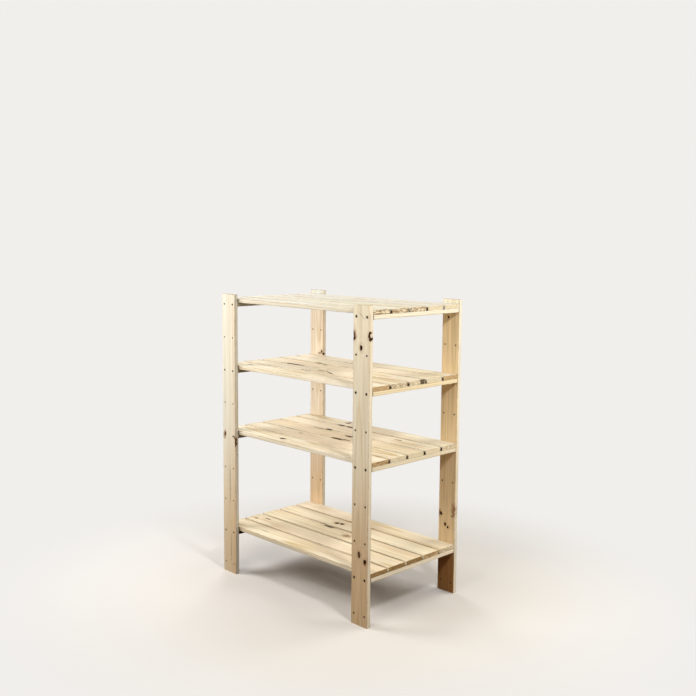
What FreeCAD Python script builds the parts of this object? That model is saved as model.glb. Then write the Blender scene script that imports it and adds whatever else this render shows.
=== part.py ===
import FreeCAD, Part
import os

import Sketcher

# Wooden shelving unit: four drilled uprights carry four slatted shelves.
# The origin is on the floor under the middle of the unit, X runs along the slats,
# Y from front to back and Z up. All sizes are millimetres.

doc = FreeCAD.newDocument("shelving_unit")
sheet = doc.addObject("Spreadsheet::Sheet", "sizes")

sizes = {
    "unit_length": 930,        # slats; the uprights' outer edges are flush with their ends
    "board_width": 90,         # uprights and battens come from the same stock
    "board_thickness": 18,     # every board is planed to this
    "edge_ease": 1.2,          # chamfer that eases the long edges of every board
    "slat_count": 5,
    "slat_width": 95,
    "slat_gap": 12.5,          # between neighbouring slats
    "hole_rows": 9,            # pairs of holes up each upright
    "hole_pitch": 150,         # from one row to the next
    "hole_spacing": 58,        # between the two holes of a row
    "end_margin": 45,          # from each end of an upright to its nearest row
    "bottom_row": 1,           # row of the bottom shelf, counted from 0 at the foot
    "shelf_step": 2,           # rows from the top shelf to the upper one, and on to the lower one
    "screw_shank": 4.5,        # diameter
    "screw_length": 60,
    "screw_head": 8.4,         # diameter
    "head_angle": 90,          # degrees, of the head's cone and its countersink
    "screw_point": 6,          # length of the tapered end
    "screw_tip": 1,            # diameter of the end of the point
    "hole_clearance": 0.5,     # holes and countersinks in the uprights, over the screw's diameters
    "pilot_clearance": 0.2,    # pilot holes in the slats and battens, over the screws and brads
    "brad_side": 1.6,          # square wire
    "brad_length": 32,
}

for row, (alias, value) in enumerate(sizes.items(), start=1):
    sheet.set(f"A{row}", alias)
    sheet.set(f"B{row}", str(value))
    sheet.setAlias(f"B{row}", alias)
doc.recompute()

tolerance = 1e-3               # lengths and volumes closer than this are the same
screw_sides = 6                # screws, and the holes that they fill, are faceted to keep them light

# Lengths that follow from the sheet, as expressions.
upright_length = "(2 * sizes.end_margin + (sizes.hole_rows - 1) * sizes.hole_pitch)"
batten_length = "(sizes.slat_count * sizes.slat_width + (sizes.slat_count - 1) * sizes.slat_gap)"
slat_pitch = "(sizes.slat_width + sizes.slat_gap)"
end_spacing = "(sizes.unit_length - sizes.board_width)"
upright_spacing = f"({batten_length} + sizes.board_thickness)"
hole_diameter = "(sizes.screw_shank + sizes.hole_clearance)"
sink_diameter = "(sizes.screw_head + sizes.hole_clearance)"
pilot_diameter = "(sizes.screw_shank + sizes.pilot_clearance)"
pilot_depth = "(sizes.screw_length - sizes.board_thickness + sizes.pilot_clearance)"
brad_hole = "(sizes.brad_side + sizes.pilot_clearance)"
brad_depth = "(sizes.brad_length - sizes.board_thickness + sizes.pilot_clearance)"
first_brad_y = f"(sizes.slat_width / 2 - {batten_length} / 2)"
head_depth = "((sizes.screw_head - sizes.screw_shank) / 2 / tan(sizes.head_angle / 2 * 1 deg))"
flat_share = f"cos(180 deg / {screw_sides})"
head_taper = f"atan(tan(sizes.head_angle / 2 * 1 deg) * {flat_share})"
point_taper = f"atan((sizes.screw_shank - sizes.screw_tip) / 2 / sizes.screw_point * {flat_share})"
slat_rise = "sizes.board_thickness"
slat_top_rise = "1.5 * sizes.board_thickness"

# How a shelf's fasteners repeat: from its left end to its right, and from slat to slat.
end_to_end = ("X_Axis", end_spacing, "2")
slat_to_slat = ("Y_Axis", f"(sizes.slat_count - 1) * {slat_pitch}", "sizes.slat_count")

# Each shelf's row of holes, counted from 0 at the foot, and the height of its screws,
# which is the middle of its battens. The slats lie on the battens.
shelf_rows = {
    "bottom": "sizes.bottom_row",
    "lower": "(sizes.hole_rows - 1 - 2 * sizes.shelf_step)",
    "upper": "(sizes.hole_rows - 1 - sizes.shelf_step)",
    "top": "(sizes.hole_rows - 1)",
}
shelf_heights = {
    shelf: f"(sizes.end_margin + {row} * sizes.hole_pitch)" for shelf, row in shelf_rows.items()
}


def new_body(label, x, y, z):
    body = doc.addObject("PartDesign::Body", label)
    body.Label = label
    body.AllowCompound = True
    for axis, place in (("x", x), ("y", y), ("z", z)):
        body.setExpression(f"Placement.Base.{axis}", place)
    return body


def origin_feature(body, role):
    return next(item for item in body.Origin.OriginFeatures if item.Role == role)


# A sketch on one of the body's origin planes, moved along its normal by an expression.
def new_sketch(body, name, plane, offset="0"):
    sketch = body.newObject("Sketcher::SketchObject", f"{body.Label}_{name}")
    sketch.AttachmentSupport = [(origin_feature(body, plane), "")]
    sketch.MapMode = "FlatFace"
    sketch.setExpression("AttachmentOffset.Base.z", offset)
    return sketch


def new_feature(body, kind, name, profile):
    feature = body.newObject(f"PartDesign::{kind}", f"{body.Label}_{name}")
    feature.Profile = profile
    return feature


# A sketch is drawn at its size in the sheet, and each dimension is then tied to the sheet.
def drawn_point(x, y):
    return FreeCAD.Vector(sheet.evalExpression(x), sheet.evalExpression(y), 0)


def add_dimensions(sketch, dimensions):
    drawn = [sheet.evalExpression(expression) for expression, _ in dimensions]
    constraints = [Sketcher.Constraint(*places, size) for size, (_, places) in zip(drawn, dimensions)]
    for index, (expression, _) in zip(sketch.addConstraint(constraints), dimensions):
        sketch.setExpression(f"Constraints[{index}]", expression)


# A closed outline through points given as pairs of expressions, each measured from the origin.
def add_outline(sketch, points):
    first = sketch.GeometryCount
    drawn = [drawn_point(x, y) for x, y in points]
    lines = [Part.LineSegment(start, end) for start, end in zip(drawn, drawn[1:] + drawn[:1])]
    sketch.addGeometry(lines, False)
    joints = []
    dimensions = []
    for n, (x, y) in enumerate(points):
        following = first + (n + 1) % len(points)
        joints.append(Sketcher.Constraint("Coincident", first + n, 2, following, 1))
        dimensions.append((x, ("DistanceX", -1, 1, first + n, 1)))
        dimensions.append((y, ("DistanceY", -1, 1, first + n, 1)))
    sketch.addConstraint(joints)
    add_dimensions(sketch, dimensions)


def add_rectangle(sketch, width, height, x="0", y="0"):
    left, right = (f"{x} {sign} {width} / 2" for sign in "-+")
    bottom, top = (f"{y} {sign} {height} / 2" for sign in "-+")
    add_outline(sketch, [(left, bottom), (right, bottom), (right, top), (left, top)])


# An outline of a screw's section, with its corners on a circle.
def add_facets(sketch, diameter, x="0", y="0"):
    corners = []
    for n in range(screw_sides):
        angle = f"{360 * (n + 0.5) / screw_sides} deg"
        corners.append((f"{x} + {diameter} / 2 * cos({angle})", f"{y} + {diameter} / 2 * sin({angle})"))
    add_outline(sketch, corners)


# The two screws of one row, either side of the board's centre line.
def add_facet_pair(sketch, diameter, height="0"):
    for side in (-1, 1):
        add_facets(sketch, diameter, f"{side} * sizes.hole_spacing / 2", height)


# The two round holes of one row, either side of the board's centre line.
def add_hole_pair(sketch, diameter, height):
    for side in (-1, 1):
        x = f"{side} * sizes.hole_spacing / 2"
        radius = sheet.evalExpression(diameter) / 2
        outline = Part.Circle(drawn_point(x, height), FreeCAD.Vector(0, 0, 1), radius)
        circle = sketch.addGeometry(outline, False)
        add_dimensions(sketch, [
            (diameter, ("Diameter", circle)),
            (x, ("DistanceX", -1, 1, circle, 3)),
            (height, ("DistanceY", -1, 1, circle, 3)),
        ])


# Repeats features along axes of their body, each over a length in a count of places,
# and then mirrors them all in an origin plane.
def repeat(body, features, name, steps, mirror=None):
    moves = []
    group = body.newObject("PartDesign::MultiTransform", f"{body.Label}_{name}")
    for n, (axis, length, count) in enumerate(steps, start=1):
        step = body.newObject("PartDesign::LinearPattern", f"{body.Label}_{name}_step_{n}")
        step.Direction = (origin_feature(body, axis), [""])
        step.setExpression("Length", length)
        step.setExpression("Occurrences", count)
        moves.append(step)
    if mirror:
        flip = body.newObject("PartDesign::Mirrored", f"{body.Label}_{name}_mirror")
        flip.MirrorPlane = (origin_feature(body, mirror), [""])
        moves.append(flip)
    group.Originals = features
    group.Transformations = moves
    body.Tip = group
    doc.recompute()


# A planed board: a section padded both ways from its plane, with the long edges eased.
def plane_board(body, plane, width, height, length):
    section = new_sketch(body, "section", plane)
    add_rectangle(section, width, height)
    pad = new_feature(body, "Pad", "board", section)
    pad.SideType = "Symmetric"
    pad.setExpression("Length", length)
    doc.recompute()
    full_length = sheet.evalExpression(length)
    edges = enumerate(pad.Shape.Edges, start=1)
    long_edges = [f"Edge{n}" for n, edge in edges if abs(edge.Length - full_length) < tolerance]
    ease = body.newObject("PartDesign::Chamfer", f"{body.Label}_eased_edges")
    ease.Base = (pad, long_edges)
    ease.setExpression("Size", "sizes.edge_ease")
    doc.recompute()


# A cut that has to take something away: a pocket that points out of the board cuts nothing.
def check_cut(body, before, name):
    if body.Shape.Volume > before - tolerance:
        raise RuntimeError(f"{body.Label}: {name} cuts nothing")


# An upright stands on its end with its countersinks towards the body's -Y.
def make_upright(label, side, depth_side):
    x = f"{side} * {end_spacing} / 2"
    y = f"{depth_side} * {upright_spacing} / 2"
    body = new_body(label, x, y, f"{upright_length} / 2")
    if depth_side > 0:
        body.setExpression("Placement.Rotation.Angle", "180 deg")
    plane_board(body, "XY_Plane", "sizes.board_width", "sizes.board_thickness", upright_length)

    before = body.Shape.Volume
    used = {round(sheet.evalExpression(row)) for row in shelf_rows.values()}
    spare = new_sketch(body, "spare_rows", "XZ_Plane")
    for row in set(range(int(sheet.hole_rows))) - used:
        height = f"sizes.end_margin + {row} * sizes.hole_pitch - {upright_length} / 2"
        add_hole_pair(spare, hole_diameter, height)
    holes = new_feature(body, "Pocket", "spare_holes", spare)
    holes.SideType = "Symmetric"
    holes.Type = "ThroughAll"
    doc.recompute()
    check_cut(body, before, "spare holes")

    before = body.Shape.Volume
    seats = new_sketch(body, "screw_rows", "XZ_Plane")
    sinks = new_sketch(body, "countersink_rows", "XZ_Plane", "sizes.board_thickness / 2")
    for height in shelf_heights.values():
        add_facet_pair(seats, hole_diameter, f"({height} - {upright_length} / 2)")
        add_facet_pair(sinks, sink_diameter, f"({height} - {upright_length} / 2)")
    holes = new_feature(body, "Pocket", "screw_holes", seats)
    holes.SideType = "Symmetric"
    holes.Type = "ThroughAll"
    doc.recompute()
    check_cut(body, before, "screw holes")

    before = body.Shape.Volume
    sink = new_feature(body, "Pocket", "countersinks", sinks)
    sink.setExpression("Length", head_depth)
    sink.setExpression("TaperAngle", f"-1 * {head_taper}")
    doc.recompute()
    check_cut(body, before, "countersinks")
    return body


def make_slat(label, shelf, number):
    y = f"({number} - (sizes.slat_count + 1) / 2) * {slat_pitch}"
    body = new_body(label, "0", y, f"{shelf_heights[shelf]} + {slat_rise}")
    plane_board(body, "YZ_Plane", "sizes.slat_width", "sizes.board_thickness", "sizes.unit_length")

    before = body.Shape.Volume
    hole = new_sketch(body, "brad_hole", "XY_Plane")
    add_rectangle(hole, brad_hole, brad_hole, f"-{end_spacing} / 2")
    pocket = new_feature(body, "Pocket", "brad_holes", hole)
    pocket.SideType = "Symmetric"
    pocket.Type = "ThroughAll"
    doc.recompute()
    repeat(body, [pocket], "both_ends", [end_to_end])
    check_cut(body, before, "brad holes")
    return body


def make_batten(label, shelf, side):
    body = new_body(label, f"{side} * {end_spacing} / 2", "0", shelf_heights[shelf])
    plane_board(body, "XZ_Plane", "sizes.board_width", "sizes.board_thickness", batten_length)

    before = body.Shape.Volume
    front_end = new_sketch(body, "front_end", "XZ_Plane", f"{batten_length} / 2")
    add_facet_pair(front_end, pilot_diameter)
    pilots = new_feature(body, "Pocket", "pilots", front_end)
    pilots.setExpression("Length", pilot_depth)
    doc.recompute()
    repeat(body, [pilots], "both_ends", [], mirror="XZ_Plane")
    check_cut(body, before, "screw pilots")

    before = body.Shape.Volume
    hole = new_sketch(body, "brad_hole", "XY_Plane", "sizes.board_thickness / 2")
    add_rectangle(hole, brad_hole, brad_hole, "0", first_brad_y)
    pocket = new_feature(body, "Pocket", "brad_holes", hole)
    pocket.setExpression("Length", brad_depth)
    doc.recompute()
    repeat(body, [pocket], "crossings", [slat_to_slat])
    check_cut(body, before, "brad holes")
    return body


# The eight screws of a shelf. The body's Y axis is the axis of the first one, at the left front.
def make_screws(label, shelf):
    body = new_body(label, f"-{end_spacing} / 2 - sizes.hole_spacing / 2", "0", shelf_heights[shelf])
    face = f"({upright_spacing} + sizes.board_thickness) / 2"
    shank_length = f"(sizes.screw_length - {head_depth} - sizes.screw_point)"
    stretches = [
        ("head", "sizes.screw_head", face, head_depth, f"-1 * {head_taper}"),
        ("shank", "sizes.screw_shank", f"{face} - {head_depth}", shank_length, "0 deg"),
        ("point", "sizes.screw_shank", f"{face} - {head_depth} - {shank_length}", "sizes.screw_point",
         f"-1 * {point_taper}"),
    ]
    screw = []
    for name, diameter, place, length, taper in stretches:
        section = new_sketch(body, f"{name}_section", "XZ_Plane", place)
        add_facets(section, diameter)
        stretch = new_feature(body, "Pad", name, section)
        stretch.Reversed = True
        stretch.setExpression("Length", length)
        stretch.setExpression("TaperAngle", taper)
        doc.recompute()
        screw.append(stretch)
    pair = ("X_Axis", "sizes.hole_spacing", "2")
    repeat(body, screw, "corners", [pair, end_to_end], mirror="XZ_Plane")
    return body


# The brads of a shelf, one at each crossing, driven flush with the tops of the slats.
def make_brads(label, shelf):
    body = new_body(label, f"-{end_spacing} / 2", "0", f"{shelf_heights[shelf]} + {slat_top_rise}")
    section = new_sketch(body, "section", "XY_Plane")
    add_rectangle(section, "sizes.brad_side", "sizes.brad_side", "0", first_brad_y)
    brad = new_feature(body, "Pad", "brad", section)
    brad.Reversed = True
    brad.setExpression("Length", "sizes.brad_length")
    doc.recompute()
    repeat(body, [brad], "crossings", [end_to_end, slat_to_slat])
    return body


parts = []
for depth_name, depth_side in (("front", -1), ("back", 1)):
    for side_name, side in (("left", -1), ("right", 1)):
        parts.append(make_upright(f"upright_{depth_name}_{side_name}", side, depth_side))

for shelf in shelf_rows:
    for number in range(1, int(sheet.slat_count) + 1):
        parts.append(make_slat(f"{shelf}_shelf_slat_{number}", shelf, number))
    for side_name, side in (("left", -1), ("right", 1)):
        parts.append(make_batten(f"{shelf}_shelf_batten_{side_name}", shelf, side))
    parts.append(make_screws(f"{shelf}_shelf_screws", shelf))
    parts.append(make_brads(f"{shelf}_shelf_brads", shelf))

doc.recompute()
for item in doc.Objects:
    if {"Invalid", "Error"} & set(item.State):
        raise RuntimeError(f"{item.Label} failed: {item.State}")
for part in parts:
    if part.Shape.isNull() or not part.Shape.isValid():
        raise RuntimeError(f"{part.Label} has no valid shape")

os.makedirs("parts", exist_ok=True)
for part in parts:
    part.Shape.exportStep(f"parts/{part.Label}.step")
    print(part.Label, len(part.Shape.Solids), round(part.Shape.Volume), part.Shape.BoundBox)
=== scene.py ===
import bmesh
import bpy
import math
import random
from mathutils import Matrix, Vector


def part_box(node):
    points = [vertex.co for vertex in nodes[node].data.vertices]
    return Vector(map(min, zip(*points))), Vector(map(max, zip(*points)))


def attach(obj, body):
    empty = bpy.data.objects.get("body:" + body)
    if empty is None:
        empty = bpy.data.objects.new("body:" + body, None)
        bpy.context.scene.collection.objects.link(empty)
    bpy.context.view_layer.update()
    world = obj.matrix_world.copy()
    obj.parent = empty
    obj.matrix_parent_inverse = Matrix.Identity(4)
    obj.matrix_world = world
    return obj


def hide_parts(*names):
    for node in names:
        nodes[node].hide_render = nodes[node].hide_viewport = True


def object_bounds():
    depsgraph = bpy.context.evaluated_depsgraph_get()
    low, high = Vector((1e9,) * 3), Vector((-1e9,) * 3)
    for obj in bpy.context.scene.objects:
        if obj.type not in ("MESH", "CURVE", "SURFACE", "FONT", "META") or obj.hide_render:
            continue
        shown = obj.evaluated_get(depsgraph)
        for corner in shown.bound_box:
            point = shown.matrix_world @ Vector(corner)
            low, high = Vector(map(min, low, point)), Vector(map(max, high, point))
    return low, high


# Wooden shelving unit of bare pine: drilled uprights, slatted shelves, black screws.
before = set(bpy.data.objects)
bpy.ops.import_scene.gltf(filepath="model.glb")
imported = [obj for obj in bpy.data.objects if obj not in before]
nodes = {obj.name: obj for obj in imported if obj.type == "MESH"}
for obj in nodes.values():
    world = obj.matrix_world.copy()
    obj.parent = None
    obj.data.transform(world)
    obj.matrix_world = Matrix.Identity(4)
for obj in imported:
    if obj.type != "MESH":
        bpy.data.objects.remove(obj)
cadLow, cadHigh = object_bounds()
shelves = ("bottom", "lower", "upper", "top")
mm = 0.001    # the scene is in metres, and the sizes below are in millimetres
mostly = 0.9  # a face or an edge counts as lying along an axis from this cosine on
print("frame loaded:", len(nodes), "nodes")


def linear(hexColour):
    channels = [int(hexColour[i:i + 2], 16) / 255 for i in (1, 3, 5)]
    return [c / 12.92 if c < 0.04045 else ((c + 0.055) / 1.055) ** 2.4 for c in channels] + [1.0]


# adds a node, sets its settings, inputs and colour stops, and gives back its first output in use
def addNode(tree, kind, inputs, stops=(), **settings):
    node = tree.nodes.new("ShaderNode" + kind)
    for name, value in settings.items():
        setattr(node, name, value)
    for name, value in inputs.items():
        if isinstance(value, bpy.types.NodeSocket):
            tree.links.new(value, node.inputs[name])
        else:
            node.inputs[name].default_value = value
    for n, (place, grey) in enumerate(stops):
        elements = node.color_ramp.elements
        element = elements[n] if n < 2 else elements.new(place)
        element.position = place
        element.color = (grey, grey, grey, 1.0)
    return next((output for output in node.outputs if output.enabled), node)


def newFinish(name):
    finish = bpy.data.materials.new(name)
    finish.use_nodes = True
    return finish, finish.node_tree, finish.node_tree.nodes["Principled BSDF"]


# everything else is deselected, so that the operators act on these pieces alone
def selectOnly(*pieces):
    bpy.ops.object.select_all(action="DESELECT")
    for piece in pieces:
        piece.select_set(True)
    bpy.context.view_layer.objects.active = pieces[0]


def edit(piece):
    selectOnly(piece)
    bpy.ops.object.mode_set(mode="EDIT")


# in edit mode, selects the faces or edges whose middle and direction pass the test
def pick(piece, kind, test):
    bpy.ops.mesh.select_mode(type=kind)
    bpy.ops.mesh.select_all(action="DESELECT")
    mesh = bmesh.from_edit_mesh(piece.data)
    if kind == "FACE":
        for face in mesh.faces:
            face.select_set(test(face.calc_center_median(), face.normal))
    else:
        for edge in mesh.edges:
            start, end = edge.verts
            edge.select_set(test((start.co + end.co) / 2, (end.co - start.co).normalized()))
    bmesh.update_edit_mesh(piece.data)


def placeCopy(piece, name, shift, turn=0.0):
    copy = piece.copy()
    copy.data = piece.data.copy()
    copy.name = name
    bpy.context.collection.objects.link(copy)
    copy.location = shift
    copy.rotation_euler.z = turn
    selectOnly(copy)
    bpy.ops.object.transform_apply()
    return copy


def joinAll(pieces):
    selectOnly(*pieces)
    bpy.ops.object.join()
    return pieces[0]


# cuts the tools out of the piece, then removes them
def cut(piece, tools):
    tool = joinAll(tools)
    selectOnly(piece)
    bpy.ops.object.modifier_add(type="BOOLEAN")
    modifier = piece.modifiers[-1]
    modifier.operation = "DIFFERENCE"
    modifier.solver = "EXACT"
    modifier.object = tool
    bpy.ops.object.modifier_apply(modifier=modifier.name)
    bpy.data.objects.remove(tool)


# merges points that lie together and turns all faces outward
def weld(piece, reach):
    edit(piece)
    bpy.ops.mesh.select_all(action="SELECT")
    bpy.ops.mesh.remove_doubles(threshold=reach * mm)
    bpy.ops.mesh.normals_make_consistent(inside=False)
    bpy.ops.object.mode_set(mode="OBJECT")


# Pine, planed and left bare: pale sapwood with soft olive growth rings that run with the board,
# brown knots that the rings flow round, and darker, rougher end grain where the saw cut it.
pine = {
    "tones": {
        "straw": "#EEE1C3",
        "wheat": "#F4EAD1",
        "cream": "#EEE7D0",
        "ivory": "#E9E4D1",
        "chalk": "#F0EBDB",    # the palest boards
        "peach": "#F6E8D0",
        "linen": "#EADFC4",
        "golden": "#F2E0B8",   # resinous and darker
        # the back right upright's own tone, and partly painted shade where it lies under the shelves
        "amber": "#F6DAAC",
        "latewood": "#D2B986",
        "heartwood": "#E3B98C",
        "knotWood": "#8A5A30",
        "bark": "#2A1506",     # round tight knots, and all of a loose one
        # for painted shade, for the darker wood round the holes, and for knots cut through on the sawn ends
        "shadeAndKnotBrown": "#33200A",
        "gapShade": "#71531F",     # painted shade in the gaps between slats
        "tuft": "#7A5328",     # torn fibres on the sawn ends
        "paleEnd": "#DACCAB",  # fresh saw cuts, and older ones
        "tanEnd": "#BEA277",
        "weatheredEnd": "#9A8054",
        "blush": "#E8D9C0",    # a rosy strip of heartwood
        "paintedShadeAbove": "#D5D7CE",   # painted shade on an upright's end, against the light that the top shelf throws up onto it
        "paintedLight": "#FFF4DE",  # painted light: slats made paler where the shelf above shades them
        # painted shade towards the foot of the uprights; the last is the bottom shelf's shadow on the back
        # right one
        "footShade": "#FDEBD4",
        "deepFootShade": "#F2DEC8",
        "underShelfShadow": "#C19F7A",
    },
    # mm, drawn coarser than real ones, which are 2 to 4 and too fine to show
    "ringWidth": {"upright": 6.5, "slat": 10.0, "batten": 6.5},
    "roughness": 0.62,
    "matteRoughness": 0.95,    # where it is sawn or barky, where shade is painted in, and round the holes
    "specular": 0.08,          # loose fibres scatter most of the gloss
    "ior": 1.50,
    "relief": 0.25,            # mm that the late wood stands proud
    "reliefStrength": 0.35,
    "fibreRelief": 0.5,        # share of that for the fibres
}
tones = {name: linear(colour) for name, colour in pine["tones"].items()}

# Growth: how far from the board's middle the pith may lie and how far it strays, in mm, its lean along the
# board, and the shade of a ring from its early wood to its late wood.
growth = {
    "across": 30,
    "through": (25, 80),
    "stray": 34,
    "lean": 0.03,
    "season": ((0.0, 0.0), (1.0, 0.0), (0.45, 0.15), (0.86, 1.0)),
    "faintest": 0.2,     # of the strongest ring
    "patternShift": 90,  # so that no two boards are alike
}

# For the boards whose names start so: sapwood, share of pink heartwood, strength of the streaks and of
# the rings.
stock = {
    "upright_front_left": ("ivory", 0.0, 0.8, 0.9),
    "upright_front_right": ("linen", 0.1, 0.8, 0.6),
    "upright_back_left": ("ivory", 0.2, 0.7, 0.7),
    "upright_back_right": ("cream", 0.15, 1.5, 0.6),
    "top_shelf_slat_1": ("ivory", 0.05, 0.9, 1.0),
    "top_shelf_slat_4": ("chalk", 0.05, 0.7, 1.0),
    "top_shelf_slat_5": ("chalk", 0.05, 0.7, 1.0),
    "top_shelf": ("cream", 0.05, 0.7, 1.0),
    "upper_shelf_slat_1": ("wheat", 0.05, 0.6, 1.0),
    "lower_shelf_slat_3": ("straw", 0.2, 0.9, 1.0),
    "bottom_shelf_batten": ("wheat", 0.1, 0.8, 1.0),
    "upper_shelf_batten": ("golden", 0.25, 0.9, 1.0),
    "lower_shelf_batten": ("straw", 0.25, 0.9, 1.0),
    "bottom_shelf": ("straw", 0.25, 0.9, 1.0),
    "": ("wheat", 0.2, 0.9, 1.0),
}
sawnEnds = {
    "bottom_shelf_slat_4": "tanEnd",
    "bottom_shelf_slat_5": "paleEnd",
    "bottom": "weatheredEnd",
    "lower_shelf_slat_1": "tanEnd",
    "upper_shelf_slat_1": "tanEnd",
    "upper_shelf_slat_5": "tanEnd",
    "": "paleEnd",
}
# how torn the sawn ends are: of the slats, from the front one to the back one, and of the other boards
tornEnds = {
    "top": (0.85, 0.75, 0.75, 0.2, 0.15),
    "upper": (0.3, 0.65, 0.35, 0.15, 0.3),
    "lower": (0.6, 0.2, 0.15, 0.15, 0.4),
    "bottom": (0.5, 0.6, 0.5, 0.5, 0.5),
}
tornOthers = 0.6
tornPart = (0.42, 0.6)  # of the pattern's grey

# Painted shade in the gaps between slats: the lightest and the darkest along the gap, and whether it
# deepens over the battens. How dark it is there beside a slat is left to chance, but for some.
gapSideShades = {"bottom": (0.05, 0.4, 0.0), "": (0.0, 0.3, 1.0)}
gapShadeOverBattens = {"top_shelf_slat_3": 0.4, "top_shelf_slat_5": 0.2}
chanceGapShade = (0.75, 1.0)
sideShade = {"upright_front_left": 0.26}  # painted shade on its right side, which faces into the bays
battenShade = {"bottom": 1.0, "lower": 0.75, "upper": 0.75, "top": 0.6}  # painted shade on the inner sides at the left

# painted light: how far each slat is made paler where the shelf above shades it, and where along it, in mm
# from its middle, from the front slat to the back one
paintedLightPatches = {
    "top": ((0.0, 0), (0.0, 0), (0.0, 0), (0.1, 0), (0.3, 0)),
    "upper": ((0.5, 300), (0.4, 0), (0.4, 0), (0.35, 0), (0.35, -330)),
    "lower": ((0.3, 330), (0.45, 0), (0.5, 0), (0.5, 0), (0.35, 0)),
    "bottom": ((0.25, 330), (0.3, 0), (0.05, 0), (0.05, 0), (0.35, -340)),
}
# how far the wood is darkened round an open hole and round a screw, in mm from the middle
holeDarkening = {"upright_front_right": (6.6, 9.0), "upright_front_left": (4.4, 6.0), "": (5.0, 7.0)}

# The shown face of some uprights has its own tone: where it starts across the board and is full, in mm,
# and the tone of the end above the top shelf.
faceTones = {
    "upright_front_left": (24, 34, "blush", "ivory"),
    # its end above the top shelf is painted shade
    "upright_back_left": (-60, -50, "peach", "paintedShadeAbove"),
    # amber partly painted shade under the shelves; the end above them, out of that shade, is paler
    "upright_back_right": (-60, -50, "amber", "cream"),
}
# painted shade at the foot, where less light reaches, and the bottom shelf's shadow on the back right
# upright: how high it reaches and up to where it is full, in mm
footShades = {
    "upright_back_right": (235, 145, "underShelfShadow"),
    "upright_front_right": (765, 165, "deepFootShade"),
    "": (765, 165, "footShade"),
}

# Patterns drawn out along the grain: length, width and depth in mm, and how finely they break up.
patterns = {
    "rim": (12, 6, 6, 2.0),        # ragged outline of a knot
    "wander": (420, 70, 70, 2.0),  # the pith is never straight
    "heart": (700, 60, 60, 1.0),
    "streak": (330, 9, 9, 3.0),
    "fibre": (50, 1.2, 1.2, 2.0),
    "torn": (90, 18, 6, 3.0),      # dark tufts on the sawn ends
    "arrisBreakup": (30, 25, 25, 3.0),   # breaks up the darker edges
}
# the part of the pattern that is shaded, how far it darkens the wood, and how much of that is used
grainShades = {"streak": (0.3, 0.62, 0.24, 0.7), "fibre": (0.25, 0.75, 0.14, 0.6)}

# Where each mask starts, where it is full, its most if that isn't 1, and its least if that isn't 0.
fadeSockets = ("From Min", "From Max", "To Max", "To Min")
fades = {
    # in radii from the middle of a mark
    "bulge": (4.0, 0.8),
    "smear": (1.5, 0.4, 0.8),
    "crack": (1.3, 0.7, 0.9),
    "sawnKnot": (1.1, 0.8, 0.85),
    # in mm from a side or an end of the board, or from the middle of a patch of painted light
    "lightPatch": (320, 120),
    "sawn": (0.7, 0.2),
    "arris": (3.0, 0.6),
    "wholeFace": (2.0, 0.0),
    "aboveShelf": (50, 20),        # from the top of the upright
    "gapSide": (1.0, 0.2),
    "deepInGap": (1.0, 9.0),       # below the top of the slat
    "overBatten": (40, 8),
    "betweenBattens": (20, 60),
    "nookShade": (100, 92, 0.85),       # just past the upright
    "battenTop": (1.0, 0.2, 0.8),
    "battenEnd": (6.0, 1.0, 0.75),
    # in the grey of a pattern
    "heart": (0.46, 0.68),
    "arrisBreakup": (0.42, 0.62, 0.5, 0.06),
    "gapSideShade": (0.35, 0.65),
}
fades = {name: dict(zip(fadeSockets, numbers)) for name, numbers in fades.items()}

# How a board's own axes lie in the unit: along the grain, across the board, and through it.
grainTurns = {"slat": (0, 0, 0), "batten": (0, 0, -90), "upright": (90, 0, 90)}

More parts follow.
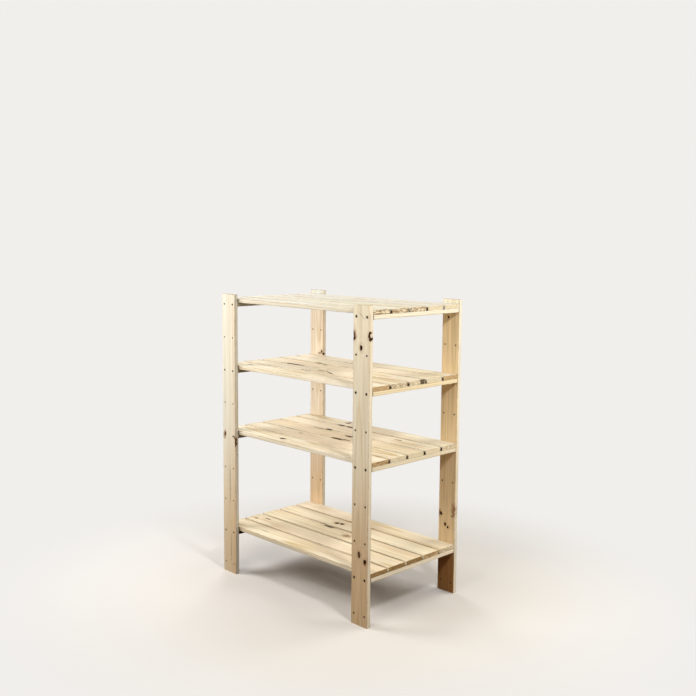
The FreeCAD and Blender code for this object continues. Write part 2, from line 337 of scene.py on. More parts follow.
# Marks seen on each board: along and across it from its middle, radius in mm, stretch along the grain,
# and for a crack its turn in degrees.
marks = {
    "tight": {
        "upright_front_right": [(-351, -3, 8, 1.7)],
        "upper_shelf_slat_3": [(464, 32, 16, 0.5)],
        "lower_shelf_slat_5": [(-163, 31, 6, 1.8)],
        "lower_shelf_slat_4": [(255, 17, 4, 6)],
        "bottom_shelf_slat_2": [(-425, -11, 5, 2)],
    },
    "loose": {
        "upright_front_right": [(479, -1, 8, 1.5), (527, -48, 10, 2.2), (515, -37, 5, 1.3),
                                (537, -43, 4, 1.8), (540, 45, 5, 1.2), (527, 40, 4.5, 2.4),
                                (516, 48, 10, 0.8), (-373, 30, 8, 1.2)],
        "upright_front_left": [(8, -27, 3.5, 2.4), (-4, 38, 3, 2.4), (-24, 46, 4.5, 5)],
        "upright_back_right": [(568, -12, 5, 1.2), (-298, -32, 6, 1.6), (-343, -9, 5.5, 1.3),
                               (-354, 7, 5, 1.2)],
        "upright_back_left": [(334, 44, 5, 1.3), (336, 22, 3.5, 1.2), (346, 36, 4.5, 1.6),
                              (335, 12, 2.5, 1.3)],
        "upper_shelf_slat_1": [(-351, 6, 4, 6)],
        "lower_shelf_slat_1": [(-110, -9, 9, 1.9)],
        "lower_shelf_slat_3": [(56, 20, 10, 2.3)],
        "lower_shelf_slat_5": [(-158, 8, 7, 2.2)],
        "bottom_shelf_slat_4": [(-104, -3, 10, 1.3), (-80, 3, 9.5, 1.3)],
        "bottom_shelf_slat_3": [(-92, 45, 12, 2.8)],
        "bottom_shelf_slat_2": [(-376, 19, 4, 4.5)],
    },
    "crack": {
        "upright_front_right": [(603, 1.3, 0.8, 26, -49)],
        "upright_front_left": [(-230, 6, 1.3, 70, 0), (-530, 9, 1.1, 60, 0)],
        "upper_shelf_slat_2": [(-76, -32, 7, 1.1, 0), (-58, -31, 6, 1.3, 0), (-42, -24, 6, 1.2, 0),
                               (8, 8, 7, 3, 33), (74, -11, 4, 13, -28)],
        "upper_shelf_slat_3": [(-123, 38, 8, 1.5, 0), (-235, -46, 5, 12, 0)],
        "upper_shelf_slat_4": [(-189, -46, 6, 3, 0)],
        "lower_shelf_slat_5": [(-146, -45, 6, 4, 0), (-82, -45, 6, 5, 0)],
        "lower_shelf_slat_4": [(-117, -45, 8, 2.5, 0)],
        "lower_shelf_slat_3": [(48, -45, 7, 4.5, 0), (95, -40, 6, 4, 0), (-165, 45, 4, 11, 0)],
        "bottom_shelf_slat_1": [(-244, 0, 2, 12, 0)],
    },
    "smear": {
        "upright_back_right": [(-272, 36, 10, 3), (-296, -40, 8, 2)],
        "upright_back_left": [(340, 33, 6, 1.2)],
        "upright_front_right": [(-378, 29, 8, 1.2), (527, -42, 13, 1.5)],
        "upright_front_left": [(2, -33, 9, 2)],
        "lower_shelf_slat_2": [(-144, 19, 6.5, 2)],
        "bottom_shelf_slat_3": [(58, 4, 15, 1.6)],
    },
}
# How the marks spread. The halo and the bark are ramps of place and strength, outward from a knot's middle.
markShape = {
    "rag": {"tight": 0.7, "loose": 1.2, "crack": 1.8, "smear": 2.4},  # of the rims, in radii
    "depth": 2.2,      # radii into the board
    "unmarked": 9.0,   # radii, for a board that has no such mark
    "push": 2.6,       # ring widths that a knot pushes the rings aside
    "haloReach": 2.5,  # radii
    "halo": ((0.3, 0.8), (1.0, 0.0), (0.4, 0.32), (0.6, 0.12)),
    "barks": {
        "tight": ((0.35, 0.3), (1.0, 0.0), (0.55, 1.0), (0.88, 1.0)),
        "loose": ((0.35, 1.0), (1.0, 0.0), (0.55, 1.0), (0.88, 1.0)),
    },
}


# the entry for the boards whose names start so
def entryFor(table, node):
    return next(entry for start, entry in table.items() if node.startswith(start))


def pineFinish(node, seed):
    kind = next(word for word in grainTurns if word in node)
    shelf = node.split("_")[0]
    low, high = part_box(node)
    turn = [math.radians(angle) for angle in grainTurns[kind]]
    spin = Matrix.Rotation(turn[2], 3, "Z") @ Matrix.Rotation(turn[0], 3, "X")
    middle = spin @ ((low + high) / 2)
    length, width, thickness = (abs(size) / mm for size in spin @ (high - low))
    dice = random.Random(seed)
    sapwood, heartShare, streaks, ringStrength = entryFor(stock, node)
    ringWidth = pine["ringWidth"][kind]
    finish, tree, shader = newFinish("planed_pine_" + node)

    # place on the board in mm: along the grain, across it, through it
    corner = addNode(tree, "TexCoord", {}).node.outputs["Object"]
    place = addNode(tree, "Mapping", {"Vector": corner, "Location": -middle / mm, "Rotation": turn,
                                      "Scale": [1 / mm] * 3})
    along, across, through = addNode(tree, "SeparateXYZ", {0: place}).node.outputs
    noise = {}
    shift = growth["patternShift"]
    for name, (*sizes, detail) in patterns.items():
        spot = [dice.uniform(-shift, shift) for axis in range(3)]
        grain = addNode(tree, "VectorMath", {0: place, 1: [1 / size for size in sizes], 2: spot},
                        operation="MULTIPLY_ADD")
        noise[name] = addNode(tree, "TexNoise", {"Vector": grain, "Scale": 1.0, "Detail": detail})

    # distances in mm to the far end of each axis, to its near end, and to the closer of the two
    reaches = []
    for value, size in ((along, length), (across, width), (through, thickness)):
        toFar = addNode(tree, "Math", {0: size / 2, 1: value}, operation="SUBTRACT")
        toNear = addNode(tree, "Math", {0: size / 2, 1: value}, operation="ADD")
        reaches.append((toFar, toNear, addNode(tree, "Math", {0: toFar, 1: toNear}, operation="MINIMUM")))
    (toHead, toFoot, toEnd), (toFarSide, toNearSide, toSide), (toFarFace, toNearFace, toFace) = reaches

    # distance in radii to the nearest mark of each kind, with a ragged rim; a mark narrows into the board
    shown = thickness / 2 if kind == "slat" else -thickness / 2
    rims = {}
    for name, boardMarks in marks.items():
        nearest = markShape["unmarked"]
        for markAlong, markAcross, radius, stretch, *angle in boardMarks.get(node, []):
            size = (radius * stretch, radius, radius * markShape["depth"])
            local = addNode(tree, "Mapping", {"Vector": place, "Location": (markAlong, markAcross, shown),
                                              "Rotation": (0, 0, math.radians(sum(angle))), "Scale": size},
                            vector_type="TEXTURE")
            distance = addNode(tree, "VectorMath", {0: local}, operation="LENGTH").node.outputs["Value"]
            nearest = addNode(tree, "Math", {0: distance, 1: nearest}, operation="MINIMUM")
        rag = markShape["rag"][name]
        ragged = addNode(tree, "Math", {0: noise["rim"], 1: rag, 2: nearest}, operation="MULTIPLY_ADD")
        rims[name] = addNode(tree, "Math", {0: ragged, 1: rag / 2}, operation="SUBTRACT")
    nearKnot = addNode(tree, "Math", {0: rims["tight"], 1: rims["loose"]}, operation="MINIMUM")
    bulge = addNode(tree, "MapRange", {"Value": nearKnot, "To Max": markShape["push"] * ringWidth}
                    | fades["bulge"], interpolation_type="SMOOTHERSTEP")

    # growth rings round a pith that lies off the board and wanders along it
    pithAcross = dice.uniform(-growth["across"], growth["across"])
    pithThrough = dice.choice((-1, 1)) * dice.uniform(*growth["through"])
    lean = dice.uniform(-growth["lean"], growth["lean"])
    stray = growth["stray"]
    wander = addNode(tree, "Math", {0: noise["wander"], 1: stray, 2: across}, operation="MULTIPLY_ADD")
    sideways = addNode(tree, "Math", {0: wander, 1: pithAcross + stray / 2}, operation="SUBTRACT")
    leaning = addNode(tree, "Math", {0: along, 1: lean, 2: through}, operation="MULTIPLY_ADD")
    depth = addNode(tree, "Math", {0: leaning, 1: pithThrough}, operation="SUBTRACT")
    section = addNode(tree, "CombineXYZ", {"X": sideways, "Y": depth})
    fromPith = addNode(tree, "VectorMath", {0: section}, operation="LENGTH").node.outputs["Value"]
    pushed = addNode(tree, "Math", {0: fromPith, 1: bulge}, operation="ADD")
    years = addNode(tree, "Math", {0: pushed, 1: ringWidth}, operation="DIVIDE")
    year = addNode(tree, "Math", {0: years}, operation="FLOOR")
    season = addNode(tree, "Math", {0: years}, operation="FRACT")
    late = addNode(tree, "ValToRGB", {"Fac": season}, stops=growth["season"])
    chance = addNode(tree, "TexWhiteNoise", {"W": year}, noise_dimensions="1D")
    vigour = addNode(tree, "MapRange", {"Value": chance, "To Min": growth["faintest"] * ringStrength,
                                        "To Max": ringStrength})
    ring = addNode(tree, "Math", {0: late, 1: vigour}, operation="MULTIPLY")

    # colour: rings, a heartwood side, soft streaks and fibres
    heart = addNode(tree, "MapRange", {"Value": noise["heart"], "To Max": heartShare} | fades["heart"],
                    interpolation_type="SMOOTHSTEP")
    early = tones[sapwood]
    if node in faceTones:
        start, full, tone, headTone = faceTones[node]
        strip = addNode(tree, "MapRange", {"Value": across, "From Min": start, "From Max": full},
                        interpolation_type="SMOOTHSTEP")
        face = addNode(tree, "MapRange", {"Value": toNearFace} | fades["wholeFace"])
        strip = addNode(tree, "Math", {0: strip, 1: face}, operation="MULTIPLY")
        early = addNode(tree, "Mix", {0: strip, 6: early, 7: tones[tone]}, data_type="RGBA")
        # the end above the top shelf takes its own tone, painted shade on the back left upright
        above = addNode(tree, "MapRange", {"Value": toHead} | fades["aboveShelf"])
        early = addNode(tree, "Mix", {0: above, 6: early, 7: tones[headTone]}, data_type="RGBA")
    wood = addNode(tree, "Mix", {0: ring, 6: early, 7: tones["latewood"]}, data_type="RGBA")
    wood = addNode(tree, "Mix", {0: heart, 6: wood, 7: tones["heartwood"]}, data_type="RGBA")
    for name, strength in (("streak", streaks), ("fibre", 1.0)):
        start, end, dark, share = grainShades[name]
        shade = addNode(tree, "ValToRGB", {"Fac": noise[name]},
                        stops=((start, 1 - dark * strength), (end, 1.0)))
        wood = addNode(tree, "Mix", {0: share, 6: wood, 7: shade}, data_type="RGBA",
                       blend_type="MULTIPLY")

    torn = tornOthers
    if kind == "slat":
        number = int(node[-1]) - 1
        torn = tornEnds[shelf][number]
        # painted light: the slat is made paler round one spot along it
        pale, spot = paintedLightPatches[shelf][number]
        fromLightPatch = addNode(tree, "Math", {0: along, 1: spot}, operation="SUBTRACT")
        fromLightPatch = addNode(tree, "Math", {0: fromLightPatch}, operation="ABSOLUTE")
        lightPatch = addNode(tree, "MapRange", {"Value": fromLightPatch, "To Max": pale} | fades["lightPatch"],
                        interpolation_type="SMOOTHSTEP")
        wood = addNode(tree, "Mix", {0: lightPatch, 6: wood, 7: tones["paintedLight"]}, data_type="RGBA")

    # marks: brown smears, a tan halo round each knot, bark round a tight one and all over a loose one,
    # and dark thin cracks
    brown = addNode(tree, "MapRange", {"Value": rims["smear"]} | fades["smear"],
                    interpolation_type="SMOOTHSTEP")
    wood = addNode(tree, "Mix", {0: brown, 6: wood, 7: tones["knotWood"]}, data_type="RGBA")
    matte = 0.0
    for name, barkStops in markShape["barks"].items():
        spread = addNode(tree, "Math", {0: rims[name], 1: markShape["haloReach"]}, operation="DIVIDE")
        halo = addNode(tree, "ValToRGB", {"Fac": spread}, stops=markShape["halo"])
        wood = addNode(tree, "Mix", {0: halo, 6: wood, 7: tones["knotWood"]}, data_type="RGBA")
        bark = addNode(tree, "ValToRGB", {"Fac": rims[name]}, stops=barkStops)
        wood = addNode(tree, "Mix", {0: bark, 6: wood, 7: tones["bark"]}, data_type="RGBA")
        matte = addNode(tree, "Math", {0: bark, 1: matte}, operation="MAXIMUM")
    line = addNode(tree, "MapRange", {"Value": rims["crack"]} | fades["crack"],
                   interpolation_type="SMOOTHSTEP")
    wood = addNode(tree, "Mix", {0: line, 6: wood, 7: tones["bark"]}, data_type="RGBA")
    matte = addNode(tree, "Math", {0: line, 1: matte}, operation="MAXIMUM")

    # sawn ends
    sawn = addNode(tree, "MapRange", {"Value": toEnd} | fades["sawn"])
    tufts = addNode(tree, "ValToRGB", {"Fac": noise["torn"]},
                    stops=((tornPart[0], torn), (tornPart[1], 0.0)))
    sawnWood = addNode(tree, "Mix", {0: tufts, 6: tones[entryFor(sawnEnds, node)], 7: tones["tuft"]},
                       data_type="RGBA")
    sawnKnot = addNode(tree, "MapRange", {"Value": nearKnot} | fades["sawnKnot"])
    sawnWood = addNode(tree, "Mix", {0: sawnKnot, 6: sawnWood, 7: tones["shadeAndKnotBrown"]}, data_type="RGBA")
    wood = addNode(tree, "Mix", {0: sawn, 6: wood, 7: sawnWood}, data_type="RGBA")

    # the eased edges are darker here and there
    byFace = addNode(tree, "MapRange", {"Value": toFace} | fades["arris"])
    bySide = addNode(tree, "MapRange", {"Value": toSide} | fades["arris"])
    arris = addNode(tree, "Math", {0: byFace, 1: bySide}, operation="MULTIPLY")
    arrisBreakup = addNode(tree, "MapRange", {"Value": noise["arrisBreakup"]} | fades["arrisBreakup"])
    darkArris = addNode(tree, "Math", {0: arris, 1: arrisBreakup}, operation="MULTIPLY")
    wood = addNode(tree, "Mix", {0: darkArris, 6: wood, 7: tones["knotWood"]}, data_type="RGBA")

    if kind == "upright":
        # darker wood in and round the drilled holes, painted shade on the right side of the front left one,
        # and painted shade towards the foot
        pitch, margin = upright["pitch"], (width - upright["pair"]) / 2
        row = addNode(tree, "Math", {0: toFoot, 1: upright["firstRow"]}, operation="SUBTRACT")
        fromRow = addNode(tree, "Math", {0: row, 1: pitch / 2, 2: -pitch / 2}, operation="WRAP")
        fromLine = addNode(tree, "Math", {0: toSide, 1: margin}, operation="SUBTRACT")
        spread = addNode(tree, "CombineXYZ", {"X": fromRow, "Y": fromLine})
        fromHole = addNode(tree, "VectorMath", {0: spread}, operation="LENGTH").node.outputs["Value"]
        number = addNode(tree, "Math", {0: row, 1: pitch}, operation="DIVIDE")
        carries = 0.0
        for shelfRow in upright["shelfRows"].values():
            here = addNode(tree, "Math", {0: number, 1: shelfRow, 2: upright["rowMatch"]},
                           operation="COMPARE")
            carries = addNode(tree, "Math", {0: here, 1: carries}, operation="MAXIMUM")
        openReach, screwReach = entryFor(holeDarkening, node)
        reach = addNode(tree, "MapRange", {"Value": carries, "To Min": openReach, "To Max": screwReach})
        darkening = addNode(tree, "MapRange", {"Value": fromHole, "From Min": reach,
                                          "From Max": upright["holeDarkFull"], "To Max": upright["holeDarkMost"]},
                       interpolation_type="SMOOTHSTEP")
        # painted shade on the side that faces into the bays
        if node in sideShade:
            side = addNode(tree, "MapRange", {"Value": toFarSide, "To Max": sideShade[node]}
                           | fades["gapSide"])
            darkening = addNode(tree, "Math", {0: darkening, 1: side}, operation="MAXIMUM")
        # painted shade towards the foot, on the wide faces
        height, full, footShadeTone = entryFor(footShades, node)
        footShading = addNode(tree, "MapRange", {"Value": toFoot, "From Min": height, "From Max": full},
                       interpolation_type="SMOOTHSTEP")
        wide = addNode(tree, "MapRange", {"Value": toFace} | fades["wholeFace"])
        footShading = addNode(tree, "Math", {0: footShading, 1: wide}, operation="MULTIPLY")
        wood = addNode(tree, "Mix", {0: footShading, 6: wood, 7: tones[footShadeTone]}, data_type="RGBA",
                       blend_type="MULTIPLY")
    elif kind == "slat":
        # painted shade in the gaps, darkest over the battens; the shelf's own front and back are left as
        # they are
        sides = {"1": (toFarSide, toNearSide), "5": (toNearSide, toFarSide)}
        inward, outward = sides.get(node[-1], (toSide, None))
        thin, thick, shadesOverBattens = entryFor(gapSideShades, node)
        gapShade = shadesOverBattens * gapShadeOverBattens.get(node, dice.uniform(*chanceGapShade))
        side = addNode(tree, "MapRange", {"Value": inward} | fades["gapSide"])
        gapSideShade = addNode(tree, "MapRange", {"Value": noise["wander"], "To Min": thin, "To Max": thick}
                       | fades["gapSideShade"])
        inside = addNode(tree, "MapRange", {"Value": toEnd} | fades["betweenBattens"])
        gapSideShade = addNode(tree, "Math", {0: gapSideShade, 1: inside}, operation="MULTIPLY")
        gapSideShade = addNode(tree, "Math", {0: gapSideShade, 1: side}, operation="MULTIPLY")
        wood = addNode(tree, "Mix", {0: gapSideShade, 6: wood, 7: tones["gapShade"]}, data_type="RGBA")
        matte = addNode(tree, "Math", {0: gapSideShade, 1: matte}, operation="MAXIMUM")
        # painted shade over the battens, deep in the gap
        over = addNode(tree, "MapRange", {"Value": toEnd, "To Max": gapShade} | fades["overBatten"])
        deep = addNode(tree, "MapRange", {"Value": toFarFace} | fades["deepInGap"])
        shadedCrevice = addNode(tree, "Math", {0: over, 1: deep}, operation="MULTIPLY")
        darkening = addNode(tree, "Math", {0: shadedCrevice, 1: side}, operation="MULTIPLY")
        if outward:
            # painted shade in the corners where the slat passes behind an upright
            behind = addNode(tree, "MapRange", {"Value": outward} | fades["gapSide"])
            nookShade = addNode(tree, "MapRange", {"Value": toEnd} | fades["nookShade"])
            nookShade = addNode(tree, "Math", {0: behind, 1: nookShade}, operation="MULTIPLY")
            darkening = addNode(tree, "Math", {0: darkening, 1: nookShade}, operation="MAXIMUM")
    else:
        # painted shade on a batten under the slats, at its ends where it meets the uprights and, at the
        # left, on its inner side
        top = addNode(tree, "MapRange", {"Value": toFarFace} | fades["battenTop"])
        ends = addNode(tree, "MapRange", {"Value": toEnd} | fades["battenEnd"])
        darkening = addNode(tree, "Math", {0: top, 1: ends}, operation="MAXIMUM")
        if "left" in node:
            side = addNode(tree, "MapRange", {"Value": toNearSide, "To Max": battenShade[shelf]}
                           | fades["wholeFace"])
            darkening = addNode(tree, "Math", {0: darkening, 1: side}, operation="MAXIMUM")
    # painted shade, and the darker wood round the holes
    wood = addNode(tree, "Mix", {0: darkening, 6: wood, 7: tones["shadeAndKnotBrown"]}, data_type="RGBA")
    tree.links.new(wood, shader.inputs["Base Color"])

    matte = addNode(tree, "Math", {0: darkening, 1: matte}, operation="MAXIMUM")
    matte = addNode(tree, "Math", {0: sawn, 1: matte}, operation="MAXIMUM")
    rough = addNode(tree, "MapRange", {"Value": matte, "To Min": pine["roughness"],
                                       "To Max": pine["matteRoughness"]})
    tree.links.new(rough, shader.inputs["Roughness"])
    shader.inputs["IOR"].default_value = pine["ior"]
    shader.inputs["Specular IOR Level"].default_value = pine["specular"]
    height = addNode(tree, "Math", {0: noise["fibre"], 1: pine["fibreRelief"], 2: ring},
                     operation="MULTIPLY_ADD")
    bump = addNode(tree, "Bump", {"Height": height, "Strength": pine["reliefStrength"],
                                  "Distance": pine["relief"] * mm})
    tree.links.new(bump, shader.inputs["Normal"])
    return finish


# An upright stands on its end and has a pair of holes in each row. The rows that carry a shelf are
# countersunk from the outside.
upright = {
    "size": (90.0, 18.0, 1290.0),
    "easedEdge": 1.2,
    "easedSteps": 3,
    "rows": 9,
    "firstRow": 45.0,
    "pitch": 150.0,
    "pair": 58.0,          # between the two holes of a row
    "shelfRows": {"bottom": 1, "lower": 4, "upper": 6, "top": 8},
    "rowMatch": 0.3,       # share of the pitch that counts as being at a row
    "hole": 5.0,           # diameter
    "sink": 8.9,           # diameter at the face
    "holeSides": 32,
    "holeDarkFull": 2.6,      # mm from the middle of a hole
    "holeDarkMost": 0.9,
    "places": {
        "upright_front_left": (-420.0, -271.5, 0.0),
        "upright_front_right": (420.0, -271.5, 0.0),
        "upright_back_left": (-420.0, 271.5, 180.0),
        "upright_back_right": (420.0, 271.5, 180.0),
    },
    # broken edges: side, height of the middle, length, depth of the break
    "chips": {
        "upright_front_right": [(1, 1174, 40, 2.4), (-1, 1170, 42, 1.6)],
        "upright_front_left": [(1, 617, 46, 1.8)],
    },
    "chipRadius": 3.0,     # in depths of the break
    "chipOutward": 1.5,    # in depths of the break, from the edge
    "chipRough": 0.5,
    "weld": 0.01,
}


def rowHeight(row):
    return upright["firstRow"] + upright["pitch"] * row


def makeUprights():
    width, thick, tall = (size * mm for size in upright["size"])
    bpy.ops.object.select_all(action="DESELECT")
    bpy.ops.mesh.primitive_cube_add(size=1)
    board = bpy.context.object
    edit(board)
    bpy.ops.transform.resize(value=(width, thick, tall))
    bpy.ops.transform.translate(value=(0, 0, tall / 2))
    pick(board, "EDGE", lambda middle, way: abs(way.z) > mostly)
    bpy.ops.mesh.bevel(offset=upright["easedEdge"] * mm, segments=upright["easedSteps"])
    # each hole gets a patch of the faces to itself, so that the cuts stay clean
    bpy.ops.mesh.select_all(action="SELECT")
    bpy.ops.mesh.bisect(plane_co=(0, 0, 0), plane_no=(1, 0, 0))
    for row in range(1, upright["rows"]):
        bpy.ops.mesh.select_all(action="SELECT")
        bpy.ops.mesh.bisect(plane_co=(0, 0, rowHeight(row - 0.5) * mm), plane_no=(0, 0, 1))
    bpy.ops.object.mode_set(mode="OBJECT")

    # a plain drill, and one that opens to a cone at the outer face
    hole, sink = upright["hole"] / 2 * mm, upright["sink"] / 2 * mm
    bpy.ops.mesh.primitive_cylinder_add(vertices=upright["holeSides"], radius=hole, depth=thick * 2,
                                        rotation=(math.pi / 2, 0, 0))
    drill = bpy.context.object
    bpy.ops.object.transform_apply()
    sinker = placeCopy(drill, "sinker", (0, 0, 0))
    edit(sinker)
    pick(sinker, "FACE", lambda middle, way: way.y < -mostly)
    bpy.ops.transform.translate(value=(0, thick / 2 + sink - hole, 0))
    bpy.ops.mesh.extrude_region_move(TRANSFORM_OT_translate={"value": (0, hole - sink, 0)})
    bpy.ops.transform.resize(value=(sink / hole, 1, sink / hole))
    bpy.ops.mesh.extrude_region_move(TRANSFORM_OT_translate={"value": (0, -thick, 0)})
    bpy.ops.object.mode_set(mode="OBJECT")

    tools = []
    for row in range(upright["rows"]):
        tool = sinker if row in upright["shelfRows"].values() else drill
        for side in (-1, 1):
            spot = Vector((side * upright["pair"] / 2, 0, rowHeight(row))) * mm
            tools.append(placeCopy(tool, "drill", spot))
    cut(board, tools)
    bpy.data.objects.remove(drill)
    bpy.data.objects.remove(sinker)

    halfWidth, halfThick = upright["size"][0] / 2, upright["size"][1] / 2
    for seed, (node, (x, y, turn)) in enumerate(upright["places"].items()):
        piece = placeCopy(board, "drilled_" + node, Vector((x, y, 0)) * mm, math.radians(turn))
        for side, height, length, depth in upright["chips"].get(node, []):
            radius, outward = upright["chipRadius"] * depth, upright["chipOutward"] * depth
            bpy.ops.object.select_all(action="DESELECT")
            bpy.ops.mesh.primitive_ico_sphere_add(subdivisions=3, radius=1)
            chip = bpy.context.object
            edit(chip)
            bpy.ops.transform.resize(value=(radius * mm, radius * mm, length / 2 * mm))
            bpy.ops.transform.vertex_random(offset=upright["chipRough"] * mm, seed=seed)
            spot = Vector((x + side * (halfWidth + outward), y - halfThick - outward, height)) * mm
            bpy.ops.transform.translate(value=spot)
            bpy.ops.object.mode_set(mode="OBJECT")
            cut(piece, [chip])
        weld(piece, upright["weld"])
        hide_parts(node)
        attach(piece, "root")
        boards[node] = piece
    bpy.data.objects.remove(board)


boards = {node: nodes[node] for node in sorted(nodes) if any(word in node for word in grainTurns)}
makeUprights()
print("uprights made:", len(upright["places"]))

# A countersunk wood screw: head with a cross recess, smooth neck, thread and point.
screw = {
    "head": 8.4,           # diameter
    "neck": 4.4,
    "core": 3.0,
    "sides": 24,
    "headDepth": 1.95,
    "rim": 0.25,
    "neckLength": 22.0,
    "shoulder": 0.6,       # from the neck down to the core
    "length": 60.0,
    "point": 6.0,
    "tip": 0.3,            # of the core's diameter
    "threadPitch": 2.6,
    "threadRib": 0.55,
    "threadFrom": 1.2,     # below the neck
    "threadInside": 0.02,  # less than the neck's radius
    "threadSteps": 12,
    "recess": 4.6,         # across the cross
    "recessWidth": 1.0,
    "recessDepth": 1.6,
    "recessFloor": (0.4, 1, 0.6),  # of its size at the top
    "weld": 0.005,
    "smoothAngle": 35,
}


def makeScrews():
    head, neck, core = (screw[name] / 2 * mm for name in ("head", "neck", "core"))
    rim, headDepth, shoulder = (screw[name] * mm for name in ("rim", "headDepth", "shoulder"))
    neckEnd, length, point = (screw[name] * mm for name in ("neckLength", "length", "point"))
    pitch, threadFrom = screw["threadPitch"] * mm, screw["threadFrom"] * mm
    bpy.ops.object.select_all(action="DESELECT")
    bpy.ops.mesh.primitive_cylinder_add(vertices=screw["sides"], radius=head, depth=rim,
                                        location=(0, rim / 2, 0), rotation=(math.pi / 2, 0, 0))
    body = bpy.context.object
    bpy.ops.object.transform_apply()
    edit(body)
    pick(body, "FACE", lambda middle, way: way.y > mostly)
    steps = ((headDepth - rim, neck / head), (neckEnd - headDepth, 1), (shoulder, core / neck),
             (length - point - neckEnd - shoulder, 1), (point, screw["tip"]))
    for reach, share in steps:
        bpy.ops.mesh.extrude_region_move(TRANSFORM_OT_translate={"value": (0, reach, 0)})
        bpy.ops.transform.resize(value=(share, 1, share))
    bpy.ops.object.mode_set(mode="OBJECT")

    # cross recess, narrower at its floor
    bars = []
    for turn in (0, math.pi / 2):
        bpy.ops.object.select_all(action="DESELECT")
        bpy.ops.mesh.primitive_cube_add(size=1)
        bar = bpy.context.object
        edit(bar)
        bpy.ops.transform.resize(value=(screw["recess"] * mm, 2 * screw["recessDepth"] * mm,
                                        screw["recessWidth"] * mm))
        pick(bar, "FACE", lambda middle, way: way.y > mostly)
        bpy.ops.transform.resize(value=screw["recessFloor"])
        bpy.ops.object.mode_set(mode="OBJECT")
        bar.rotation_euler.y = turn
        bpy.ops.object.transform_apply()
        bars.append(bar)
    for bar in bars:
        cut(body, [bar])

    # the thread is a three-sided rib wound round the core
    bpy.ops.object.select_all(action="DESELECT")
    bpy.ops.mesh.primitive_circle_add(vertices=3, radius=screw["threadRib"] * mm, fill_type="NOTHING")
    thread = bpy.context.object
    edit(thread)
    bpy.ops.mesh.select_all(action="SELECT")
    bpy.ops.transform.rotate(value=math.pi / 2, orient_axis="Z", center_override=(0, 0, 0))
    bpy.ops.object.mode_set(mode="OBJECT")
    reach = max(vertex.co.x for vertex in thread.data.vertices)
    edit(thread)
    bpy.ops.mesh.select_all(action="SELECT")
    bpy.ops.transform.translate(value=(neck - screw["threadInside"] * mm - reach, neckEnd + threadFrom, 0))
    bpy.ops.object.mode_set(mode="OBJECT")
    bpy.ops.object.modifier_add(type="SCREW")
    winding = thread.modifiers[-1]
    winding.axis = "Y"
    winding.steps = winding.render_steps = screw["threadSteps"]
    winding.iterations = int((length - point - neckEnd - threadFrom) / pitch) - 1
    winding.screw_offset = pitch
    bpy.ops.object.modifier_apply(modifier=winding.name)
    edit(thread)
    bpy.ops.mesh.select_all(action="SELECT")
    bpy.ops.mesh.fill_holes(sides=3)
    bpy.ops.object.mode_set(mode="OBJECT")
    body = joinAll([body, thread])
    weld(body, screw["weld"])
    bpy.ops.object.shade_smooth_by_angle(angle=math.radians(screw["smoothAngle"]))

    for shelf in shelves:
        copies = []
        height = rowHeight(upright["shelfRows"][shelf])
        for x, y, turn in upright["places"].values():
            outerFace = y + math.copysign(upright["size"][1] / 2, y)
            for side in (-1, 1):
                spot = Vector((x + side * upright["pair"] / 2, outerFace, height)) * mm
                copies.append(placeCopy(body, shelf + "_shelf_wood_screws", spot, math.radians(turn)))
        piece = joinAll(copies)
        piece.data.materials.clear()
        piece.data.materials.append(screwFinish)
        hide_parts(shelf + "_shelf_screws")
        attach(piece, "root")
    bpy.data.objects.remove(body)


# Hardened steel with a black phosphate coat: a dull, finely mottled grey-black.
phosphate = {
    "dark": "#0B0A08",
    "light": "#1F1B17",
    "mottle": 0.8,            # mm
    "roughness": (0.6, 0.8),  # least and most
    "specular": 0.12,
}
screwFinish, tree, shader = newFinish("black_phosphate_steel")
corner = addNode(tree, "TexCoord", {}).node.outputs["Object"]
mottle = addNode(tree, "TexNoise", {"Vector": corner, "Scale": 1 / (phosphate["mottle"] * mm),
                                    "Detail": 3.0})
coat = addNode(tree, "Mix", {0: mottle, 6: linear(phosphate["dark"]), 7: linear(phosphate["light"])},
               data_type="RGBA")
tree.links.new(coat, shader.inputs["Base Color"])
least, most = phosphate["roughness"]
rough = addNode(tree, "MapRange", {"Value": mottle, "To Min": least, "To Max": most})
tree.links.new(rough, shader.inputs["Roughness"])
shader.inputs["Specular IOR Level"].default_value = phosphate["specular"]
makeScrews()
print("screws made for", len(shelves), "shelves")

# Bright drawn wire: fine scratches along each brad, and clean cut ends.
wire = {
    "bright": "#C4C0B8",
    "dull": "#8E8A83",
    "scratch": (0.3, 0.3, 12),  # mm, drawn out along the wire
    "roughness": (0.25, 0.5),   # least and most
}
bradFinish, tree, shader = newFinish("bright_drawn_wire")
corner = addNode(tree, "TexCoord", {}).node.outputs["Object"]
drawn = addNode(tree, "Mapping", {"Vector": corner, "Scale": [1 / (size * mm) for size in wire["scratch"]]})
scratch = addNode(tree, "TexNoise", {"Vector": drawn, "Scale": 1.0, "Detail": 2.0})
steel = addNode(tree, "Mix", {0: scratch, 6: linear(wire["bright"]), 7: linear(wire["dull"])},
                data_type="RGBA")
tree.links.new(steel, shader.inputs["Base Color"])
least, most = wire["roughness"]
rough = addNode(tree, "MapRange", {"Value": scratch, "To Min": least, "To Max": most})
tree.links.new(rough, shader.inputs["Roughness"])
shader.inputs["Metallic"].default_value = 1.0
for shelf in shelves:
    nodes[shelf + "_shelf_brads"].data.materials.clear()
    nodes[shelf + "_shelf_brads"].data.materials.append(bradFinish)
print("brads finished in wire steel")

for seed, (node, board) in enumerate(boards.items()):
    board.data.materials.clear()
    board.data.materials.append(pineFinish(node, seed))
print("boards finished in pine:", len(boards))

# The camera stands where the photograph was taken from.
camera = {
    "eye": (2.9499, -2.8601, 1.5591),
    "yaw": -45.268,     # degrees from +Y towards +X
    "tilt": 6.879,      # degrees below the horizon
    "roll": 0.449,
    "lens": 48.594,     # mm, and so is the sensor
    "sensor": 36.0,
}


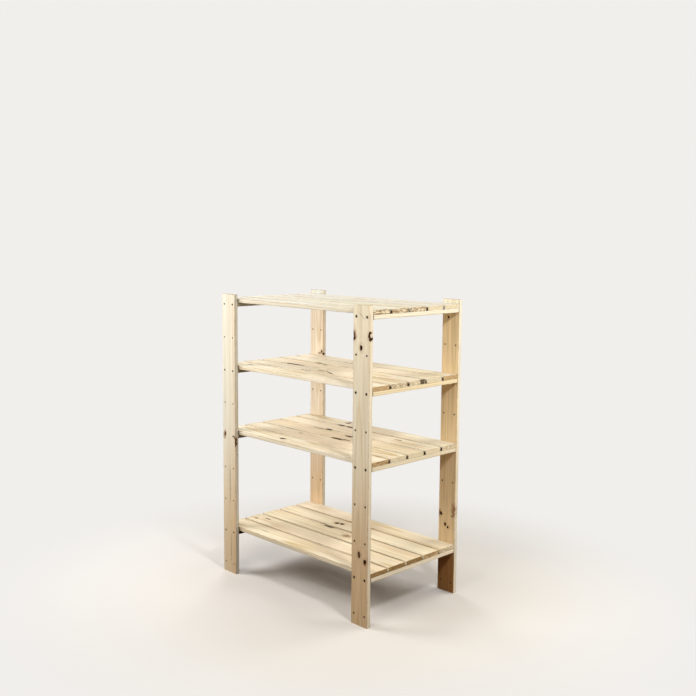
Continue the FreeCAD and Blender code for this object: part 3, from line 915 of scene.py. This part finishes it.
def setCamera():
    bpy.ops.object.select_all(action="DESELECT")
    bpy.ops.object.camera_add(location=camera["eye"])
    eye = bpy.context.object
    yaw, tilt, roll = (math.radians(camera[name]) for name in ("yaw", "tilt", "roll"))
    aim = Matrix.Rotation(-yaw, 4, "Z") @ Matrix.Rotation(math.pi / 2 - tilt, 4, "X")
    turn = aim @ Matrix.Rotation(roll, 4, "Z")
    eye.rotation_euler = turn.to_euler()
    eye.data.lens = camera["lens"]
    eye.data.sensor_width = camera["sensor"]
    bpy.context.scene.camera = eye


setCamera()
print("camera set")

# Soft area lamps stand round the unit. Each has its direction in degrees from +X, its distance from
# the middle, its height and its size in metres, its power in watts and its colour.
studio = {
    "floorSize": 40.0,
    "floor": "#D6D1C9",
    "floorBounce": "#5A4030",
    "floorRoughness": 0.8,
    "backdrop": "#F1EFEC",
    "backdropLight": "#000000",  # the lamps alone light the unit
    "fadeFrom": 0.6,
    "fadeTo": 1.6,
    "lamps": {
        "frontLeft": (-142, 2.1, 1.6, 1.1, 46, "#FEFDFF"),
        "rightHigh": (-20, 2.1, 2.3, 0.35, 36, "#FBFDFF"),
        "frontHigh": (-80, 2.1, 2.3, 1.1, 22, "#FFFCF5"),
        "frontLow": (-62, 2.3, 1.1, 1.1, 4, "#FFFCF5"),
        "backLeft": (150, 2.1, 2.3, 1.1, 27, "#F0F6FF"),
        "backRight": (60, 2.1, 2.3, 1.1, 27, "#FFFAF2"),
        "backLow": (30, 2.1, 0.9, 1.1, 19, "#FFFAF2"),
    },
}


def setStudio():
    bpy.ops.object.select_all(action="DESELECT")
    bpy.ops.mesh.primitive_plane_add(size=studio["floorSize"], location=(0, 0, 0))
    floor = bpy.context.object
    floor.name = "floor"
    finish, tree, shader = newFinish("pale_floor")
    path = addNode(tree, "LightPath", {}).node.outputs
    seen = addNode(tree, "Math", {0: path["Is Camera Ray"], 1: path["Is Glossy Ray"]}, operation="MAXIMUM")
    colour = addNode(tree, "Mix", {0: seen, 6: linear(studio["floorBounce"]), 7: linear(studio["floor"])},
                     data_type="RGBA")
    tree.links.new(colour, shader.inputs["Base Color"])
    shader.inputs["Roughness"].default_value = studio["floorRoughness"]
    # far from the unit the floor fades into the backdrop
    corner = addNode(tree, "TexCoord", {}).node.outputs["Object"]
    distance = addNode(tree, "VectorMath", {0: corner}, operation="LENGTH").node.outputs["Value"]
    far = addNode(tree, "MapRange", {"Value": distance, "From Min": studio["fadeFrom"],
                                     "From Max": studio["fadeTo"]}, interpolation_type="SMOOTHSTEP")
    fade = addNode(tree, "Math", {0: far, 1: seen}, operation="MULTIPLY")
    glow = addNode(tree, "Emission", {"Color": linear(studio["backdrop"])})
    surface = addNode(tree, "MixShader", {0: fade, 1: shader.outputs[0], 2: glow})
    tree.links.new(surface, tree.nodes["Material Output"].inputs["Surface"])
    floor.data.materials.append(finish)

    world = bpy.data.worlds.new("studio")
    bpy.context.scene.world = world
    world.use_nodes = True
    tree = world.node_tree
    path = addNode(tree, "LightPath", {}).node.outputs
    seen = addNode(tree, "Math", {0: path["Is Camera Ray"], 1: path["Is Glossy Ray"]}, operation="MAXIMUM")
    light = addNode(tree, "Mix", {0: seen, 6: linear(studio["backdropLight"]),
                                  7: linear(studio["backdrop"])}, data_type="RGBA")
    tree.links.new(light, tree.nodes["Background"].inputs["Color"])

    target = Vector((0, 0, (cadLow.z + cadHigh.z) / 2))
    for name, (direction, away, height, size, power, colour) in studio["lamps"].items():
        angle = math.radians(direction)
        spot = Vector((away * math.cos(angle), away * math.sin(angle), height))
        bpy.ops.object.light_add(type="AREA", location=spot)
        lamp = bpy.context.object
        lamp.name = name
        lamp.data.size = size
        lamp.data.energy = power
        lamp.data.color = linear(colour)[:3]
        lamp.rotation_euler = (target - spot).to_track_quat("-Z", "Y").to_euler()
        lamp.visible_camera = False
    bpy.context.scene.view_settings.view_transform = "Standard"


setStudio()
print("studio set")
